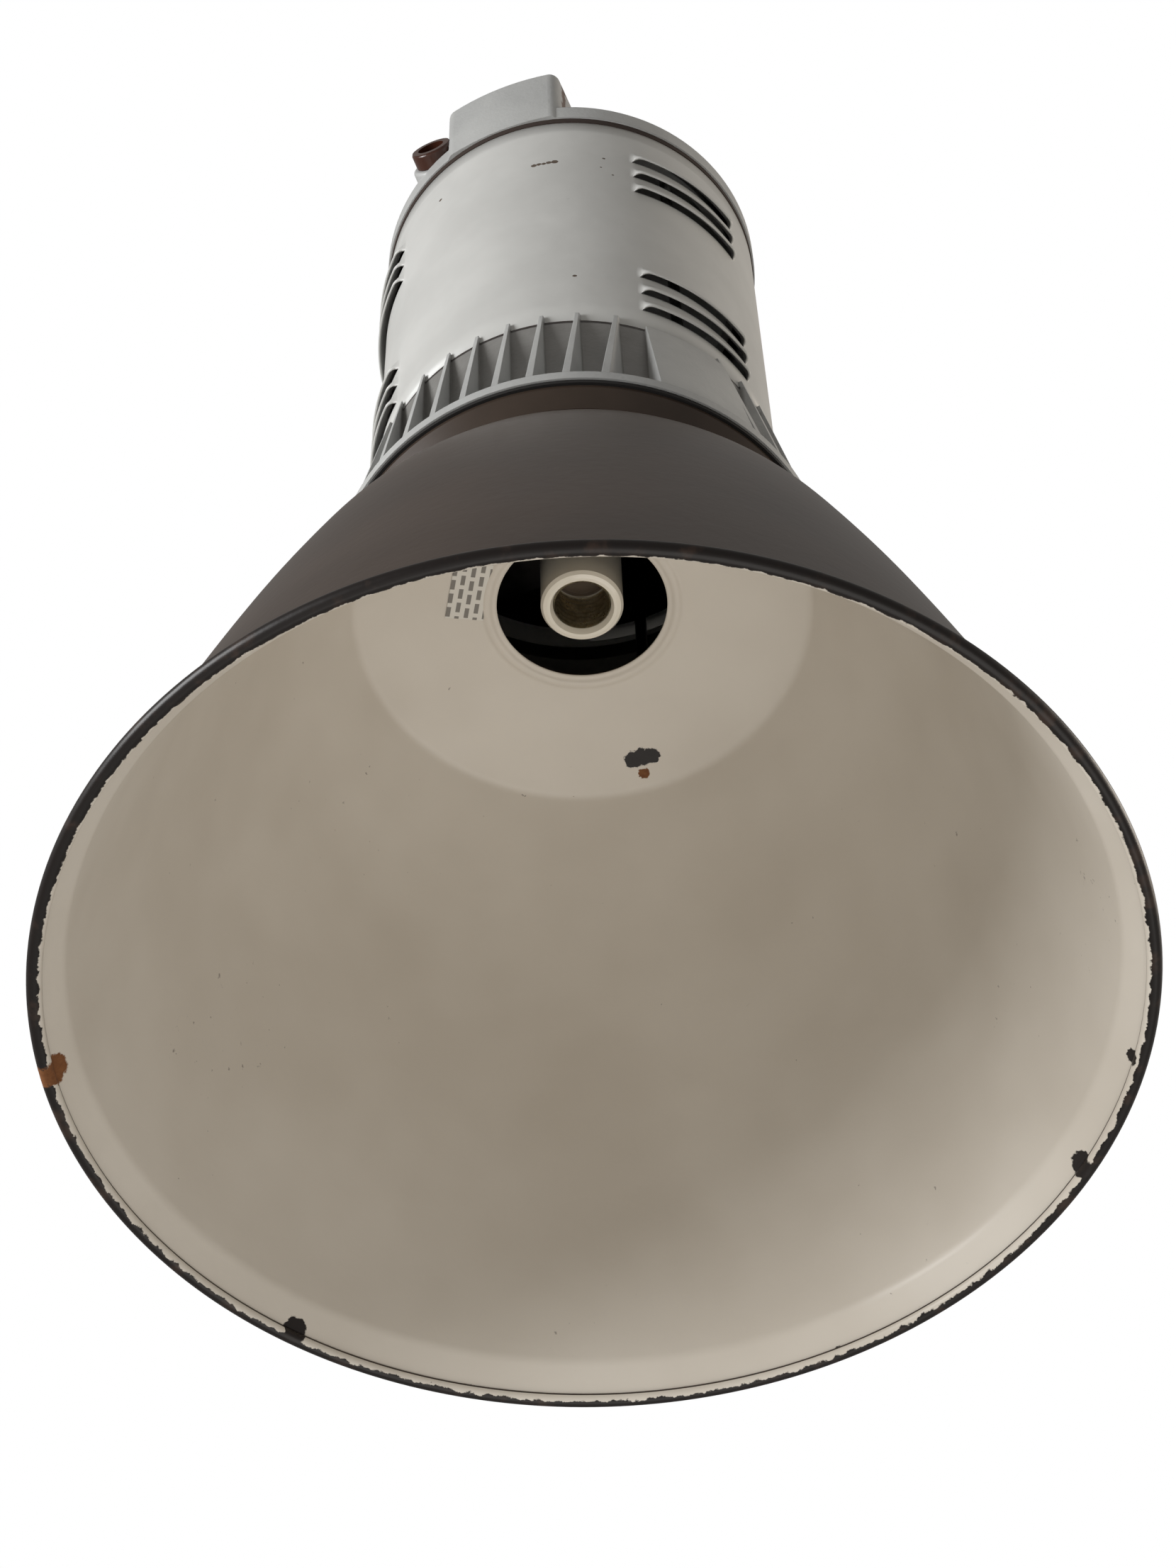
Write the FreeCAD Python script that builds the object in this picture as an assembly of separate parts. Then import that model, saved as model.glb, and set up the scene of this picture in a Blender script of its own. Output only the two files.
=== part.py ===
import FreeCAD, Part

import math
import os

# A high-bay pendant lamp: an enamelled steel bell under a finned casting, a louvred housing and a cast cap.
# Heights are first measured up from the rim of the bell. The finished pieces are then lowered, so that
# the origin is the mouth of the threaded hub on top, where the stem screws in. -Y is the front.

V = FreeCAD.Vector

# Driving dimensions, in millimetres.
RIM_R = 228.6            # an 18 inch reflector
HUB_TOP = 702.0          # height of the hub's mouth above the rim
HOUSING_R = 101.4        # outside of the louvred shell
SOCKET_R = 19.9          # outside of the porcelain lamp socket

# Reflector
SHEET = 1.5              # steel with enamel on both sides
BEAD_R = 3.2             # rolled edge
FLARE = (214.4, 16.0)    # radius and height of the bend above the rim, inside
WALL_IN = [FLARE, (195.6, 84.0), (173.4, 156.0), (154.5, 210.0), (142.5, 240.0), (129.6, 264.5)]
SHOULDER = (109.5, 296.5)
PLATE_HOLE = (41.0, 304.0)

# Neck between the reflector and the casting
NECK_FOOT_R, NECK_R = 112.0, 117.0
NECK_TOP = 311.0
NECK_SHEET = 1.5
FLANGE_Z = 313.5         # underside of the casting's flange
FLANGE_T = 6.0
FLANGE_R = 119.5
BOLT_CIRCLE_R = 84.0
BOLT_R, BOLT_HOLE_R = 3.0, 3.4
NUT_FLATS = 10.0
NUT_H = 3.4              # thin nuts, between the neck's shelf and the bell
PLATE_BORE_R = 74.0      # wide opening through the neck ring and its gasket

# Finned casting
CORE_R = 101.6
CORE_TOP = 400.0
FIN_TIP = (103.0, 406.0)
FIN_FOOT_R = 118.5
FIN_T, FIN_FOOT_T = 1.7, 3.6
FIN_PITCH = 16.6
FIN_TURN = -1.5          # the fin pattern is clocked a little against the cap, in degrees
FRONT_FINS = 4           # on each side of the middle, front and back
SIDE_FINS = 3            # on each side of the middle, left and right
PAD_START, PAD_END = 41.0, 66.0
CASTING_BORE_R = 64.0
WEB_T = 1.5              # the casting's web inside its core, above the flange
WEB_TOP = FLANGE_Z + FLANGE_T + WEB_T

# Louvred shell
SHELL_T = 1.2
SEAM = 1.2               # packing under the shell
SHELL_TOP = 622.0
LOUVRE_SPAN = 38.5
LOUVRE_PITCH = 17.2
LOUVRE_H = 12.5
LOUVRE_OUT = 4.6
LOUVRE_TOPS = (596.0, 467.0)
LOUVRE_CENTRES = (60.0, -60.0, 180.0)
CHEEK_T = 0.8            # closed ends of each hood, in degrees of turn

# Cap
GASKET_T = 4.5
CAP_Z = SHELL_TOP + GASKET_T
CAP_SIDE = 12.0
CAP_R = 102.8
CAP_T = 5.0
BOX_HALF = 33.0
BOX_FRONT_R = 150.0      # the box's front is flatter than the cap
BOX_TOP = 683.0
BOX_BACK = -20.0
HUB_R = 23.0
HUB_BORE_R = 12.6
SET_SCREW_R = 2.9
COVER_SCREW_X, COVER_SCREW_Y = 24.9, -57.0
BUSH_AT = V(-43, -98, 651)
BUSH_DIR = V(0, -math.cos(math.radians(10)), math.sin(math.radians(10)))
BUSH_R, BUSH_BORE_R = 11.0, 7.5
MOUTH_R, MOUTH_L = 11.6, 8.6

# Lamp socket
SOCKET_FACE = 302.2
SOCKET_TOP = 350.0
SOCKET_FLOOR = 334.0
SHELL_BORE_R = 13.3
THREAD_PITCH = 3.63
FOLD = (-3.3, 333.5)     # fold line of the spring tongue
FOLD_R = 0.3
TONGUE_W = 7.0
TONGUE_LOW = 330.4
RIVET_X = -7.5

# Sticker under the top plate
LABEL_SIZE = (18.5, 34.0)
LABEL_TURN = 32.4
LABEL_AT = V(-45.4, -30.9, 0)

# Inside the housing
PLATE_Z = 420.0          # underside of the ballast plate
PLATE_T = 2.0
BRACKET_Z = 356.0        # underside of the socket bracket
FOOT_X = 79.0            # screws in the bracket's feet
ROD_R = 3.0
ROD_END = 664.0
ROD_SEAT = 654.0         # flat pads on the cap for the tie rod nuts
BOSS_TOP = 346.0
CAPACITOR_AT = (-55.0, 28.0)
BLOCK_AT = (-42.0, -32.0)
CELL = 10.0              # width of one terminal
BLOCK_TOP = PLATE_Z + PLATE_T + 18.0
STRAP_X = (-16.0, 52.0)
WIRE_HOLE = (-10.0, -45.0)
NUT_X = 10.0             # wire nuts, left and right in the splice box
LEAD_R = 1.6


def at_angle(radius, degrees, z=0.0):
    """A point at an angle from the front, counted towards +X."""
    a = math.radians(degrees)
    return V(radius * math.sin(a), -radius * math.cos(a), z)


def turned(outline):
    """A full turn about the vertical axis of a closed outline of (radius, height) points."""
    points = [V(r, 0, z) for r, z in outline]
    return Part.Face(Part.makePolygon(points + points[:1])).revolve(V(), V(0, 0, 1), 360)


def turned_part(edges, start, span):
    """A part turn of a closed profile, from an angle counted from the front."""
    solid = Part.Face(Part.Wire(edges)).revolve(V(), V(0, 0, 1), span)
    solid.rotate(V(), V(0, 0, 1), start - 90)
    return solid


def rod(radius, low, high, x=0.0, y=0.0):
    return Part.makeCylinder(radius, high - low, V(x, y, low))


def ring(inner, outer, low, high, x=0.0, y=0.0):
    return rod(outer, low, high, x, y).cut(rod(inner, low - 1, high + 1, x, y))


def block(x0, x1, y0, y1, z0, z1):
    return Part.makeBox(x1 - x0, y1 - y0, z1 - z0, V(x0, y0, z0))


def hexagon(across_flats, low, high, x=0.0, y=0.0, hole=0.0):
    corner = across_flats / math.sqrt(3)
    points = [V(x + corner * math.cos(math.radians(60 * i)),
                y + corner * math.sin(math.radians(60 * i)), low) for i in range(7)]
    solid = Part.Face(Part.makePolygon(points)).extrude(V(0, 0, high - low))
    return solid.cut(rod(hole, low - 1, high + 1, x, y)) if hole else solid


def group(solids):
    return Part.makeCompound(solids)


def spread(angles):
    """The places on the bolt circle at these angles from the front."""
    return [at_angle(BOLT_CIRCLE_R, a) for a in angles]


BOLT_PLACES = spread((0, 120, 240))
ROD_PLACES = spread((60, 180, 300))


def offset_outline(points, distance):
    """The same open outline moved sideways, away from the axis."""
    moved = []
    for i, (r, z) in enumerate(points):
        r0, z0 = points[max(i - 1, 0)]
        r1, z1 = points[min(i + 1, len(points) - 1)]
        length = math.hypot(r1 - r0, z1 - z0)
        moved.append((r + distance * (z1 - z0) / length, z - distance * (r1 - r0) / length))
    return moved


def spline(points):
    curve = Part.BSplineCurve()
    curve.interpolate([V(r, 0, z) for r, z in points])
    return curve.toShape()


def reflector():
    outside = offset_outline(WALL_IN, SHEET)
    band_in = (RIM_R - BEAD_R - 2.5, BEAD_R + 1.0)
    inner_line = [WALL_IN[-1], SHOULDER, PLATE_HOLE]
    outer_line = [(PLATE_HOLE[0], PLATE_HOLE[1] + SHEET), (SHOULDER[0] + 1.0, SHOULDER[1] + SHEET),
                  outside[-1]]
    band_out = (RIM_R - BEAD_R + 0.5, 2 * BEAD_R - 0.4)
    edges = [spline(WALL_IN)]
    corners = inner_line + outer_line
    edges += [Part.makeLine(V(a[0], 0, a[1]), V(b[0], 0, b[1])) for a, b in zip(corners, corners[1:])]
    edges.append(spline(outside))
    close = [outside[0], band_out, band_in, FLARE]
    edges += [Part.makeLine(V(a[0], 0, a[1]), V(b[0], 0, b[1])) for a, b in zip(close, close[1:])]
    body = Part.Face(Part.Wire(Part.__sortEdges__(edges))).revolve(V(), V(0, 0, 1), 360)
    bead = Part.makeTorus(RIM_R - BEAD_R, BEAD_R, V(0, 0, BEAD_R))
    return body.fuse(bead).removeSplitter()


def neck_ring():
    """A drawn steel ring welded to the top of the bell, wider at its top, with an inner bolt shelf."""
    foot = SHOULDER[1] + SHEET + 0.3
    shelf = NECK_TOP - NECK_SHEET
    return turned([(NECK_FOOT_R, foot), (NECK_R, NECK_TOP - 2), (NECK_R, NECK_TOP), (PLATE_BORE_R, NECK_TOP),
                   (PLATE_BORE_R, shelf), (NECK_R - 2 * NECK_SHEET, shelf),
                   (NECK_FOOT_R - NECK_SHEET, foot)]).cut(bolt_holes())


def bolt_holes():
    return group([rod(BOLT_HOLE_R, NECK_TOP - 20, NECK_TOP + 20, p.x, p.y) for p in BOLT_PLACES])


def neck_gasket():
    return ring(PLATE_BORE_R, FLANGE_R - 1.0, NECK_TOP, FLANGE_Z).cut(bolt_holes())


def fin_blade(middle, end, turn):
    """A slab with draft, thick at the flange and thin at its tip, before it is trimmed to the flare."""
    low, high = FLANGE_Z + 1, FIN_TIP[1] + 4
    corners = [(middle - FIN_FOOT_T / 2, low), (middle + FIN_FOOT_T / 2, low),
               (middle + FIN_T / 2, high), (middle - FIN_T / 2, high)]
    outline = [V(x, end * 60, z) for x, z in corners]
    blade = Part.Face(Part.makePolygon(outline + outline[:1])).extrude(V(0, end * 70, 0))
    blade.rotate(V(), V(0, 0, 1), turn + FIN_TURN)
    return blade


def fin_collar():
    flange_top = FLANGE_Z + FLANGE_T
    spigot_r, inside_r = HOUSING_R - SHELL_T - 0.3, HOUSING_R - 4.7
    core = turned([(CASTING_BORE_R, FLANGE_Z), (FLANGE_R, FLANGE_Z), (FLANGE_R, flange_top),
                   (CORE_R, flange_top), (CORE_R, CORE_TOP), (spigot_r, CORE_TOP), (spigot_r, CORE_TOP + 10),
                   (inside_r, CORE_TOP + 10), (inside_r, WEB_TOP),
                   (CASTING_BORE_R, WEB_TOP)])
    root_r = inside_r + 1.5
    flare = turned([(root_r, flange_top - 1), (FIN_FOOT_R, flange_top - 1), FIN_TIP,
                    (HOUSING_R + 0.2, FIN_TIP[1]), (HOUSING_R + 0.2, CORE_TOP - 1), (root_r, CORE_TOP - 1)])
    blades = []
    for count, across in ((FRONT_FINS, 0), (SIDE_FINS, 90)):
        for i in range(count):
            middle = FIN_PITCH * (i + 0.5)
            blades += [fin_blade(side * middle, end, across) for side in (-1, 1) for end in (-1, 1)]
    for start in (PAD_START, 180 - PAD_END, 180 + PAD_START, 360 - PAD_END):
        pad = Part.makeCylinder(130, 90, V(0, 0, FLANGE_Z + 1), V(0, 0, 1), PAD_END - PAD_START)
        pad.rotate(V(), V(0, 0, 1), start - 90)
        blades.append(pad.common(rod(130, FLANGE_Z + 1, CORE_TOP)))
    bosses = [rod(7.0, flange_top, BOSS_TOP, p.x, p.y) for p in ROD_PLACES]
    body = core.fuse([flare.common(b) for b in blades] + bosses)
    holes = [rod(ROD_R, flange_top + 3, BOSS_TOP + 1, p.x, p.y) for p in ROD_PLACES]
    holes += [rod(2.1, FLANGE_Z - 1, FLANGE_Z + 10, side * FOOT_X) for side in (-1, 1)]
    return body.cut(holes + [bolt_holes()]).removeSplitter()


def louvre_profile(top, inset):
    """The hood's section: flush with the shell at its top, standing out at its lower edge."""
    r0, r1 = HOUSING_R - inset, HOUSING_R + LOUVRE_OUT - inset
    low = top - LOUVRE_H
    bulge = V(r0 + 0.72 * LOUVRE_OUT, 0, top - 0.32 * LOUVRE_H)
    return V(r0, 0, top), bulge, V(r1, 0, low)


def housing_shell():
    shell = ring(HOUSING_R - SHELL_T, HOUSING_R, CORE_TOP + SEAM, SHELL_TOP)
    slots, hoods = [], []
    for centre in LOUVRE_CENTRES:
        start = centre - LOUVRE_SPAN / 2
        for tier in LOUVRE_TOPS:
            for i in range(3):
                top = tier - i * LOUVRE_PITCH
                a, b, c = louvre_profile(top, 0.0)
                d, e, f = louvre_profile(top, SHELL_T)
                d, e = d - V(0, 0, 0.6), e - V(0, 0, 0.8)
                hood = [Part.Arc(a, b, c).toShape(), Part.makeLine(c, f), Part.Arc(f, e, d).toShape(),
                        Part.makeLine(d, a)]
                hoods.append(turned_part(hood, start, LOUVRE_SPAN))
                foot = V(d.x, 0, c.z)
                cheek = [Part.Arc(a, b, c).toShape(), Part.makeLine(c, foot), Part.makeLine(foot, d),
                         Part.makeLine(d, a)]
                for where in (start, start + LOUVRE_SPAN - CHEEK_T):
                    hoods.append(turned_part(cheek, where, CHEEK_T))
                corners = [V(HOUSING_R - 3, 0, c.z), V(HOUSING_R + 1, 0, c.z), V(HOUSING_R + 1, 0, top - 1.6),
                           V(HOUSING_R - 3, 0, top - 1.6)]
                slot = [Part.makeLine(p, q) for p, q in zip(corners, corners[1:] + corners[:1])]
                slots.append(turned_part(slot, start + CHEEK_T / 2, LOUVRE_SPAN - CHEEK_T))
    return shell.cut(slots).fuse(hoods).removeSplitter()


def top_gasket():
    return ring(93, HOUSING_R + 0.5, SHELL_TOP, CAP_Z)


def shell_gasket():
    """A thin packing between the casting's core and the lower edge of the shell."""
    return ring(HOUSING_R - SHELL_T - 0.2, HOUSING_R - 0.1, CORE_TOP, CORE_TOP + SEAM)


def cap_outline(inset):
    """Half section of the cap's outside, from its lower edge up and in to the axis, moved in by inset."""
    r, side = CAP_R - inset, CAP_Z + CAP_SIDE
    return [(r, CAP_Z), (r, side - inset), (r - 2.2, side + 5 - inset), (r - 7.5, side + 9.5 - inset),
            (r - 16, side + 13 - inset), (r - 40, side + 18 - inset), (0, side + 24 - inset)]


def top_cap():
    outside = turned(cap_outline(0.0) + [(0, CAP_Z)])
    box = block(-BOX_HALF, BOX_HALF, -120, BOX_BACK, CAP_Z, BOX_TOP)
    box = box.common(rod(BOX_FRONT_R, CAP_Z, BOX_TOP, 0, BOX_FRONT_R - CAP_R))
    corners = [e for e in box.Edges if abs(e.CenterOfMass.x) > BOX_HALF - 1 and e.BoundBox.ZLength > 40]
    box = box.makeFillet(6.0, corners)
    rim = [e for e in box.Edges if e.BoundBox.ZMin > BOX_TOP - 0.1]
    box = box.makeFillet(4.0, rim)
    hub = Part.makeCylinder(HUB_R, HUB_TOP - CAP_Z - 10, V(0, 0, CAP_Z + 10))
    hub = hub.makeFillet(2.5, [e for e in hub.Edges if e.BoundBox.ZMin > HUB_TOP - 0.1])
    boss_end = BUSH_AT - BUSH_DIR * 9.0
    boss = Part.makeCylinder(14.5, 30.0, boss_end, -BUSH_DIR)
    boss = boss.makeFillet(2.0, [e for e in boss.Edges if (e.CenterOfMass - boss_end).Length < 1])
    body = outside.fuse([box, hub, boss]).cut(block(-60, -28, -110, -60, CAP_Z - 30, CAP_Z))
    hollow = turned(cap_outline(CAP_T) + [(0, CAP_Z - 1), (CAP_R - CAP_T, CAP_Z - 1)])
    pocket = block(-BOX_HALF + 4, BOX_HALF - 4, -94, BOX_BACK - 5, CAP_Z - 1, BOX_TOP - 6)
    pocket = pocket.common(rod(CAP_R - 5, CAP_Z - 1, BOX_TOP))
    window = block(-22, 22, -82, -32, CAP_Z, BOX_TOP + 1)
    recess = block(-28, 28, -88, -27, BOX_TOP - 3, BOX_TOP + 1)
    tools = [hollow, pocket, window, recess, rod(HUB_BORE_R, CAP_Z, HUB_TOP + 1),
             set_screw_shank(SET_SCREW_R + 0.05, 20)]
    tools += [rod(1.7, BOX_TOP - 12, BOX_TOP, side * COVER_SCREW_X, COVER_SCREW_Y) for side in (-1, 1)]
    seats = [rod(9.0, ROD_SEAT - 10, ROD_SEAT, p.x, p.y) for p in ROD_PLACES]
    lip = ring(88, 92.5, CAP_Z - 12, CAP_Z + CAP_SIDE + 7)
    body = body.cut(tools).fuse(seats + [lip])
    holes = [rod(BOLT_HOLE_R, CAP_Z - 20, HUB_TOP, p.x, p.y) for p in ROD_PLACES]
    holes += [Part.makeCylinder(BUSH_R, 50, BUSH_AT, -BUSH_DIR),
              Part.makeCylinder(MOUTH_R + 0.1, MOUTH_L + 0.1, BUSH_AT, -BUSH_DIR)]
    return body.cut(holes).removeSplitter()


def splice_cover():
    cover = block(-27.6, 27.6, -87.6, -27.4, BOX_TOP - 2.9, BOX_TOP - 0.4)
    return cover.cut([rod(1.9, BOX_TOP - 6, BOX_TOP + 6, side * COVER_SCREW_X, COVER_SCREW_Y)
                      for side in (-1, 1)])


def splice_cover_screws():
    y, seat = COVER_SCREW_Y, BOX_TOP - 0.4
    return group([rod(1.6, BOX_TOP - 10, seat, x, y).fuse(rod(3.0, seat, seat + 1.8, x, y)).cut(
        block(x - 3, x + 3, y - 0.4, y + 0.4, seat + 1, seat + 2)) for x in (-COVER_SCREW_X, COVER_SCREW_X)])


def conduit_bushing():
    tube = Part.makeCylinder(BUSH_R - 0.05, 24, BUSH_AT, -BUSH_DIR)
    mouth = Part.makeCylinder(MOUTH_R, MOUTH_L, BUSH_AT, -BUSH_DIR)
    mouth = mouth.makeFillet(1.6, [mouth.Edges[i] for i in range(len(mouth.Edges))
                                   if (mouth.Edges[i].CenterOfMass - BUSH_AT).Length < 0.1])
    return tube.fuse(mouth).cut(Part.makeCylinder(BUSH_BORE_R, 40, BUSH_AT + BUSH_DIR, -BUSH_DIR))


def set_screw_shank(radius, length):
    """The set screw's place: level, 12 mm below the hub's mouth, at the back."""
    return Part.makeCylinder(radius, length, V(0, HUB_BORE_R + 0.4, HUB_TOP - 12), V(0, 1, 0))


def hub_set_screw():
    slot = Part.makeBox(1.0, 2, 8, V(-0.5, HUB_BORE_R + 9, HUB_TOP - 16))
    return set_screw_shank(SET_SCREW_R, 10).cut(slot)


def reflector_nuts():
    low, high = NECK_TOP - NECK_SHEET - NUT_H, NECK_TOP - NECK_SHEET
    return group([hexagon(NUT_FLATS, low, high, p.x, p.y, BOLT_R) for p in BOLT_PLACES])


def nipple_locknuts():
    """One nut under the bracket and one on it."""
    return group([hexagon(14, z, z + 3, 0, 0, 4.8) for z in (BRACKET_Z - 3, BRACKET_Z + 2)])


def centre_tongue():
    """The spring tongue that meets the lamp's tip: it slopes down from its rounded fold."""
    x, z = FOLD
    low = TONGUE_LOW
    points = [(x, z + FOLD_R), (x, z - FOLD_R), (2.6, low + 0.2), (4.4, low), (5.6, low + 0.8),
              (5.2, low + 1.3), (4.3, low + 0.7), (2.8, low + 0.9)]
    outline = [V(px, -TONGUE_W / 2, pz) for px, pz in points]
    blade = Part.Face(Part.makePolygon(outline + outline[:1])).extrude(V(0, TONGUE_W, 0))
    return blade.fuse(Part.makeCylinder(FOLD_R, TONGUE_W, V(x, -TONGUE_W / 2, z), V(0, 1, 0)))


def lead(route, radius):
    """A stiff internal lead: straight runs joined by arcs."""
    points = [V(*p) for p in route]
    edges, start = [], points[0]
    for before, corner, after in zip(points, points[1:], points[2:]):
        a, b = (before - corner), (after - corner)
        cut = 0.45 * min(a.Length, b.Length)
        p, q = corner + a.normalize() * cut, corner + b.normalize() * cut
        half = a.getAngle(b) / 2
        bisector = (a + b).normalize()
        bend = cut * math.tan(half)
        middle = corner + bisector * (cut / math.cos(half) - bend)
        edges += [Part.makeLine(start, p), Part.Arc(p, middle, q).toShape()]
        start = q
    edges.append(Part.makeLine(start, points[-1]))
    path = Part.Wire(edges)
    first = Part.Wire(Part.makeCircle(radius, points[0], points[1] - points[0]))
    return path.makePipeShell([first], True, False)


def socket_body():
    face, wide = SOCKET_FACE, SOCKET_R
    outside = turned([(0, face), (wide - 3.0, face), (wide - 1.2, face + 0.6), (wide, face + 2.4),
                      (wide, SOCKET_TOP - 5), (wide - 4, SOCKET_TOP), (0, SOCKET_TOP)])
    bore = turned([(0, face - 1), (SHELL_BORE_R + 2.6, face - 1), (SHELL_BORE_R + 1.5, face + 1.2),
                   (SHELL_BORE_R + 0.7, face + 3.0), (SHELL_BORE_R + 0.7, SOCKET_FLOOR - 2),
                   (SHELL_BORE_R - 0.5, SOCKET_FLOOR), (0, SOCKET_FLOOR)])
    wells = [rod(2.6, SOCKET_TOP - 12, SOCKET_TOP + 1, x, 0) for x in (-12, 12)]
    return outside.cut([bore, rod(4.9, SOCKET_TOP - 10, SOCKET_TOP + 1),
                        rod(1.25, SOCKET_FLOOR - 1, SOCKET_FLOOR + 5, RIVET_X)] + wells)


def screw_shell():
    low, high = SOCKET_FACE + 2.8, TONGUE_LOW - 0.2
    outer = rod(SHELL_BORE_R + 0.6, low, high).fuse(ring(SHELL_BORE_R, SHELL_BORE_R + 0.75, low - 0.5, low))
    grooves = []
    turns = int((high - low - 2) / THREAD_PITCH)
    for i in range(turns):
        z = low + 2.4 + i * THREAD_PITCH
        grooves.append(turned([(SHELL_BORE_R - 1, z - 0.2), (SHELL_BORE_R, z - 0.9),
                               (SHELL_BORE_R + 0.35, z), (SHELL_BORE_R, z + 0.9),
                               (SHELL_BORE_R - 1, z + 0.2)]))
    return outer.cut([rod(SHELL_BORE_R, low - 2, high + 1)] + grooves)


def socket_bracket():
    top = block(-72, 72, -14, 14, BRACKET_Z, BRACKET_Z + 2)
    legs = [block(min(s * 70, s * 72), max(s * 70, s * 72), -14, 14, WEB_TOP, BRACKET_Z + 2) for s in (-1, 1)]
    feet = [block(min(s * 70, s * 88), max(s * 70, s * 88), -10, 10, WEB_TOP, WEB_TOP + 2) for s in (-1, 1)]
    holes = [rod(5.0, 350, 360)] + [rod(2.1, WEB_TOP - 1, WEB_TOP + 3, s * FOOT_X) for s in (-1, 1)]
    holes += [rod(3.0, 350, 360, s * 12) for s in (-1, 1)]
    return top.fuse(legs + feet).cut(holes).removeSplitter()


def ballast_core():
    core = block(-22, 58, -20, 20, PLATE_Z + 2, PLATE_Z + 72)
    return core.cut([block(x0, x1, -21, 21, PLATE_Z + 16, PLATE_Z + 58) for x0, x1 in ((-8, 6), (30, 44))])


def ballast_coil():
    outer = block(-7, 43, -33, 33, PLATE_Z + 17, PLATE_Z + 57)
    corners = [e for e in outer.Edges if e.BoundBox.ZLength > 30]
    outer = outer.makeFillet(12, corners)
    return outer.cut(block(5.5, 30.5, -20.5, 20.5, PLATE_Z, PLATE_Z + 80))


def ballast_plate():
    low, high = PLATE_Z - 1, PLATE_Z + PLATE_T + 1
    holes = [rod(12, low, high, *WIRE_HOLE)] + [rod(3.2, low, high, p.x, p.y) for p in ROD_PLACES]
    return rod(92, PLATE_Z, PLATE_Z + PLATE_T).cut(holes + [rod(2.2, low, high, x, 27) for x in STRAP_X])


def ballast_straps():
    """Two feet that hold the core down on its plate, each with a screw hole."""
    z = PLATE_Z + PLATE_T
    feet = []
    for x in STRAP_X:
        foot = block(x - 5, x + 5, 20, 34, z, z + 2).fuse(block(x - 5, x + 5, 20, 22, z, z + 70))
        feet.append(foot.fuse(block(x - 5, x + 5, -4, 22, z + 70, z + 72)).cut(rod(2.2, z - 1, z + 3, x, 27)))
    return group(feet)


def ballast_screws():
    z = PLATE_Z + PLATE_T + 2
    return group([rod(2.0, PLATE_Z - 6, z, x, 27).fuse(rod(3.8, z, z + 2.4, x, 27)) for x in STRAP_X])


def capacitor():
    x, y = CAPACITOR_AT
    z = PLATE_Z + PLATE_T
    can = rod(21, z, z + 78, x, y)
    can = can.makeFillet(3, [e for e in can.Edges if e.BoundBox.ZMin > z + 77])
    tabs = [block(x + s * 7 - 3, x + s * 7 + 3, y - 0.4, y + 0.4, z + 77, z + 86) for s in (-1, 1)]
    return can.fuse(tabs)


def capacitor_clamp():
    x, y = CAPACITOR_AT
    z = PLATE_Z + PLATE_T
    band = ring(21.05, 22.25, z, z + 14, x, y)
    ear = block(x + 10, x + 34, y + 12, y + 22, z, z + 1.5).cut(rod(21.05, z - 1, z + 20, x, y))
    return band.fuse(ear)


def terminal_block():
    x, y = BLOCK_AT
    z = PLATE_Z + PLATE_T
    body = block(x - 1.6 * CELL, x + 1.6 * CELL, y - 10, y + 10, z, BLOCK_TOP)
    walls = [x + i * CELL for i in (-1.5, -0.5, 0.5, 1.5)]
    return body.fuse([block(w - 1, w + 1, y - 10, y + 10, BLOCK_TOP - 1, BLOCK_TOP + 4) for w in walls])


def terminal_block_screws():
    x, y = BLOCK_AT
    z = BLOCK_TOP
    return group([rod(2.6, z, z + 1.8, cx, y + 5).cut(block(cx - 3, cx + 3, y + 4.6, y + 5.4, z + 1, z + 3))
                  for cx in (x - CELL, x, x + CELL)])


def socket_nipple():
    return ring(3.4, 4.8, SOCKET_TOP - 9.5, BRACKET_Z + 11)


def contact_base():
    plate = block(-11, -4, -TONGUE_W / 2, TONGUE_W / 2, SOCKET_FLOOR - 0.8, SOCKET_FLOOR)
    return plate.cut(rod(1.25, SOCKET_FLOOR - 2, SOCKET_FLOOR + 1, RIVET_X))


def contact_rivet():
    z = SOCKET_FLOOR - 0.8
    head = rod(2.3, z - 0.9, z, RIVET_X)
    head = head.makeFillet(0.5, [e for e in head.Edges if e.BoundBox.ZMax < z - 0.8])
    return head.fuse(rod(1.25, z, SOCKET_FLOOR + 5, RIVET_X))


def socket_terminals():
    """A screw with its clamp plate at the bottom of each wire well."""
    z = SOCKET_TOP - 12
    return group([rod(2.55, z, z + 2.4, x) for x in (-12, 12)])


def tie_rods():
    return group([rod(ROD_R, FLANGE_Z + FLANGE_T + 3, ROD_END, p.x, p.y) for p in ROD_PLACES])


def cap_nuts():
    """Domed nuts on the tie rods, on top of the cap."""
    nuts_made = []
    for p in ROD_PLACES:
        low = ROD_SEAT + 1.2
        body = hexagon(NUT_FLATS, low, low + 5, p.x, p.y).fuse(rod(4.6, low, low + 9, p.x, p.y))
        body = body.fuse(Part.makeSphere(4.6, V(p.x, p.y, low + 9)))
        nuts_made.append(body.cut(rod(ROD_R, low - 1, ROD_END, p.x, p.y)))
    return group(nuts_made)


def washers():
    return group([ring(3.2, 8, ROD_SEAT, ROD_SEAT + 1.2, p.x, p.y) for p in ROD_PLACES])


def plate_nuts():
    return group([hexagon(NUT_FLATS, z, z + 5, p.x, p.y, ROD_R) for p in ROD_PLACES
                  for z in (PLATE_Z - 5, PLATE_Z + PLATE_T)])


def reflector_bolts():
    low = WEB_TOP
    tip = NECK_TOP - NECK_SHEET - NUT_H
    return group([hexagon(NUT_FLATS, low, low + 4, p.x, p.y).fuse(rod(BOLT_R, tip, low, p.x, p.y))
                  for p in BOLT_PLACES])


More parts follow.
